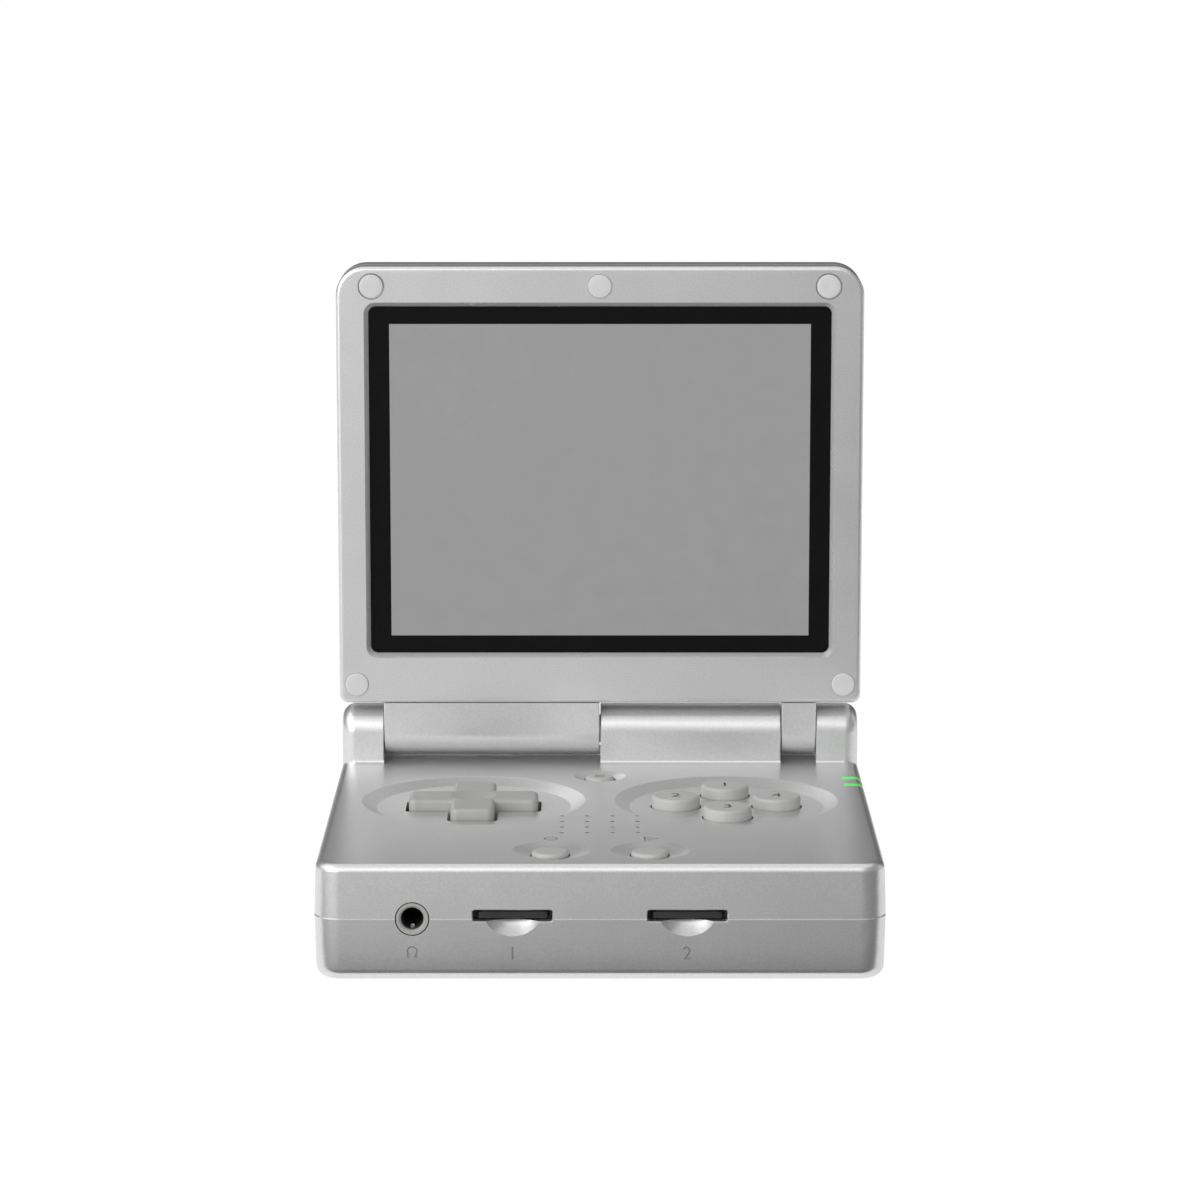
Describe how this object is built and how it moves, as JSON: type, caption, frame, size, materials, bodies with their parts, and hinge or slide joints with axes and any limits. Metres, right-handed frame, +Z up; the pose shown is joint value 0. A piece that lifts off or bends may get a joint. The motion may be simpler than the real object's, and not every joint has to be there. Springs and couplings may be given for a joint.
{
  "type": "clamshell handheld game console",
  "caption": "Clamshell handheld game console with a hinged screen lid, cross pad, round buttons, shoulder buttons, card slots and jack",
  "frame": {"origin": "middle of the case's flat underside, on the surface that the console rests on", "axes": "+X to the player's right, -Y the front edge with the headphone jack and card slots, +Y the hinge side, +Z up; lid upright at rest"},
  "size_m": [0.09, 0.0854, 0.1039],
  "materials": {
    "silver_paint": "satin silver metallic paint over moulded plastic, with fine flakes",
    "button_plastic": "moulded warm light grey plastic, fine satin texture",
    "button_rubber": "soft grey silicone rubber",
    "bumper_rubber": "pale translucent silicone",
    "screen_glass": "flat cover glass with a printed black border, picture area mid grey with a low sheen",
    "green_light": "clear green light guide, glowing",
    "jack_plastic": "warm grey moulded plastic, satin",
    "steel": "plated steel, bright",
    "circuit_board": "green solder mask on glass fibre board",
    "cable_film": "amber polyimide film",
    "dark_plastic": "black moulded plastic, fine matte texture"
  },
  "bodies": {
    "base": {"base_top_shell": "silver_paint", "base_bottom_shell": "silver_paint", "battery_cover": "silver_paint", "battery": "dark_plastic", "main_board": "circuit_board", "processor_shield": "steel", "card_socket_left": "dark_plastic", "card_socket_right": "dark_plastic", "headphone_jack": "jack_plastic", "usb_socket": "steel", "video_socket": "steel", "speaker": "dark_plastic", "vibration_motor": "steel", "dpad_membrane": "button_rubber", "face_button_membrane": "button_rubber", "start_membrane": "button_rubber", "menu_membrane": "button_rubber", "shoulder_switches": "dark_plastic", "side_switches": "dark_plastic", "light_strips": "green_light", "case_screws": "steel", "board_screws": "steel", "cover_screws": "steel", "hinge_cartridge": "steel", "hinge_pin": "steel", "display_cable": "cable_film"},
    "lid": {"lid_back_shell": "silver_paint", "lid_bezel": "silver_paint", "display_panel": "dark_plastic", "screen_glass": "screen_glass", "lid_bumpers": "bumper_rubber", "lid_screws": "steel", "lid_magnet": "steel"},
    "dpad_pivot": {"dpad_pivot": "button_rubber"},
    "dpad": {"dpad": "button_plastic"},
    "face_button_top": {"face_button_top": "button_plastic"},
    "face_button_left": {"face_button_left": "button_plastic"},
    "face_button_right": {"face_button_right": "button_plastic"},
    "face_button_bottom": {"face_button_bottom": "button_plastic"},
    "select_button": {"select_button": "button_plastic"},
    "start_button": {"start_button": "button_plastic"},
    "menu_button": {"menu_button": "button_plastic"},
    "shoulder_left_outer": {"shoulder_left_outer": "button_plastic"},
    "shoulder_left_inner": {"shoulder_left_inner": "button_plastic"},
    "shoulder_right_inner": {"shoulder_right_inner": "button_plastic"},
    "shoulder_right_outer": {"shoulder_right_outer": "button_plastic"},
    "volume_rocker": {"volume_rocker": "button_plastic"},
    "power_button": {"power_button": "button_plastic"},
    "reset_button": {"reset_button": "button_plastic"},
    "memory_card_left": {"memory_card_left": "dark_plastic"},
    "memory_card_right": {"memory_card_right": "dark_plastic"}
  },
  "joints": [
    {"name": "lid_hinge", "type": "hinge", "parent": "base", "child": "lid", "pos_m": [0, 0.03785, 0.0238], "axis": [-1, 0, 0], "range_deg": [-90, 60]},
    {"name": "dpad_rock_sideways", "type": "hinge", "parent": "base", "child": "dpad_pivot", "pos_m": [-0.0208, 0.00425, 0.0144], "axis": [0, 1, 0], "range_deg": [-2.75, 2.75], "stiffness_Nm_per_rad": 0.05},
    {"name": "dpad_rock_forwards", "type": "hinge", "parent": "dpad_pivot", "child": "dpad", "pos_m": [-0.0208, 0.00425, 0.0144], "axis": [1, 0, 0], "range_deg": [-2.75, 2.75], "stiffness_Nm_per_rad": 0.05},
    {"name": "face_button_top_press", "type": "slide", "parent": "base", "child": "face_button_top", "axis": [0, 0, -1], "range_m": [0, 0.001], "stiffness_N_per_m": 600, "springref_m": -0.0005},
    {"name": "face_button_left_press", "type": "slide", "parent": "base", "child": "face_button_left", "axis": [0, 0, -1], "range_m": [0, 0.001], "stiffness_N_per_m": 600, "springref_m": -0.0005},
    {"name": "face_button_right_press", "type": "slide", "parent": "base", "child": "face_button_right", "axis": [0, 0, -1], "range_m": [0, 0.001], "stiffness_N_per_m": 600, "springref_m": -0.0005},
    {"name": "face_button_bottom_press", "type": "slide", "parent": "base", "child": "face_button_bottom", "axis": [0, 0, -1], "range_m": [0, 0.001], "stiffness_N_per_m": 600, "springref_m": -0.0005},
    {"name": "select_button_press", "type": "slide", "parent": "base", "child": "select_button", "axis": [0, 0, -1], "range_m": [0, 0.001], "stiffness_N_per_m": 600, "springref_m": -0.0005},
    {"name": "start_button_press", "type": "slide", "parent": "base", "child": "start_button", "axis": [0, 0, -1], "range_m": [0, 0.001], "stiffness_N_per_m": 600, "springref_m": -0.0005},
    {"name": "menu_button_press", "type": "slide", "parent": "base", "child": "menu_button", "axis": [0, 0, -1], "range_m": [0, 0.001], "stiffness_N_per_m": 600, "springref_m": -0.0005},
    {"name": "shoulder_left_outer_press", "type": "slide", "parent": "base", "child": "shoulder_left_outer", "axis": [0, -1, 0], "range_m": [0, 0.0008], "stiffness_N_per_m": 600, "springref_m": -0.0005},
    {"name": "shoulder_left_inner_press", "type": "slide", "parent": "base", "child": "shoulder_left_inner", "axis": [0, -1, 0], "range_m": [0, 0.0008], "stiffness_N_per_m": 600, "springref_m": -0.0005},
    {"name": "shoulder_right_inner_press", "type": "slide", "parent": "base", "child": "shoulder_right_inner", "axis": [0, -1, 0], "range_m": [0, 0.0008], "stiffness_N_per_m": 600, "springref_m": -0.0005},
    {"name": "shoulder_right_outer_press", "type": "slide", "parent": "base", "child": "shoulder_right_outer", "axis": [0, -1, 0], "range_m": [0, 0.0008], "stiffness_N_per_m": 600, "springref_m": -0.0005},
    {"name": "volume_rock", "type": "hinge", "parent": "base", "child": "volume_rocker", "pos_m": [-0.0415, -0.002, 0.01], "axis": [0, 0, 1], "range_deg": [-3, 3], "stiffness_Nm_per_rad": 0.02},
    {"name": "power_press", "type": "slide", "parent": "base", "child": "power_button", "axis": [-1, 0, 0], "range_m": [0, 0.0004], "stiffness_N_per_m": 600, "springref_m": -0.0005},
    {"name": "reset_press", "type": "slide", "parent": "base", "child": "reset_button", "axis": [-1, 0, 0], "range_m": [0, 0.0004], "stiffness_N_per_m": 600, "springref_m": -0.0005},
    {"name": "memory_card_left_slide", "type": "slide", "parent": "base", "child": "memory_card_left", "axis": [0, -1, 0], "range_m": [-0.0006, 0.01]},
    {"name": "memory_card_right_slide", "type": "slide", "parent": "base", "child": "memory_card_right", "axis": [0, -1, 0], "range_m": [-0.0006, 0.01]}
  ]
}
